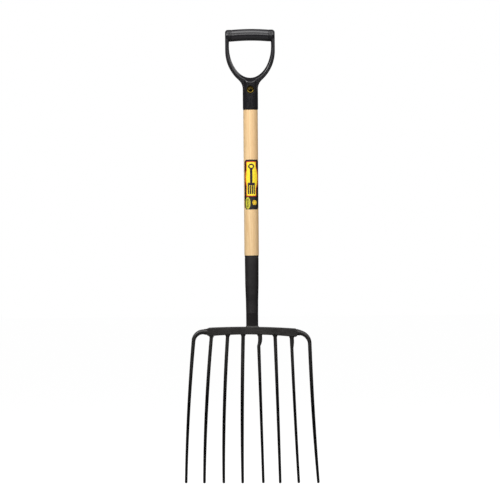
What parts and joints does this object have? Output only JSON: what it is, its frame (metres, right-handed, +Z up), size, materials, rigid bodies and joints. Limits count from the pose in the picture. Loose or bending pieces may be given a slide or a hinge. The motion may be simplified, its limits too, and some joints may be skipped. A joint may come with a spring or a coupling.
{
  "type": "digging fork",
  "caption": "Long-handled digging fork with round tines on an arched crossbar, tapered ferrule, ash handle and moulded D grip.",
  "frame": {"origin": "on the handle's axis at the ferrule's mouth, where the bare wood begins", "axes": "+Z up the handle towards the grip, +X to the tool's right seen from the front, tines dish towards -Y, which is the front"},
  "size_m": [0.3538, 0.0836, 1.1966],
  "materials": {
    "ash": "clear lacquered ash, fine lengthwise grain",
    "printed_label": "printed film, black with a yellow panel",
    "black_paint": "semi-gloss black paint",
    "head_paint": "semi-gloss black paint over forged scale",
    "tine_paint": "gloss black paint",
    "grip_plastic": "moulded black plastic, soft sheen",
    "hand_grip_plastic": "moulded black plastic, smoother sheen",
    "yellow_zinc": "yellow zinc plating"
  },
  "bodies": {
    "root": {"handle_shaft": "ash", "label": "printed_label", "ferrule": "black_paint", "ferrule_rivet": "black_paint", "ferrule_weld": "black_paint", "crossbar": "head_paint", "tine_welds": "head_paint", "left_outer_tine": "tine_paint", "left_second_tine": "tine_paint", "left_third_tine": "tine_paint", "left_inner_tine": "tine_paint", "right_inner_tine": "tine_paint", "right_third_tine": "tine_paint", "right_second_tine": "tine_paint", "right_outer_tine": "tine_paint", "grip_yoke": "grip_plastic", "grip_upper_shell": "hand_grip_plastic", "grip_lower_shell": "hand_grip_plastic", "grip_washer": "yellow_zinc", "grip_screw": "yellow_zinc"}
  },
  "joints": []
}
